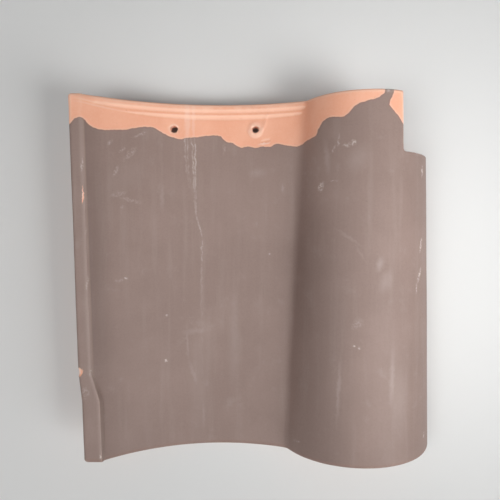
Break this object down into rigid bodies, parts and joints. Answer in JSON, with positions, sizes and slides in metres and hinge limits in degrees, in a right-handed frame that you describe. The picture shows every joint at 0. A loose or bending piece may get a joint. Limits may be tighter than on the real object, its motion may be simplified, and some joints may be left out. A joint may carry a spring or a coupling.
{
  "type": "clay roof tile",
  "caption": "S-shaped clay roof tile with a curved pan, a tapering barrel, a side rim, a lap notch and nail holes, with a matt brown coat.",
  "frame": {"origin": "the middle of the tile's plan size, on the plane of the nib feet, which is its lowest point", "axes": "+X runs across the tile from the side rim to the barrel, +Y runs up the roof slope to the head edge with the nail holes, and +Z leaves the weather face"},
  "size_m": [0.3169, 0.31, 0.0736],
  "materials": {
    "fired_clay": "matt dark brown slip over bare orange-pink fired clay"
  },
  "bodies": {
    "root": {"roof_tile": "fired_clay"}
  },
  "joints": []
}
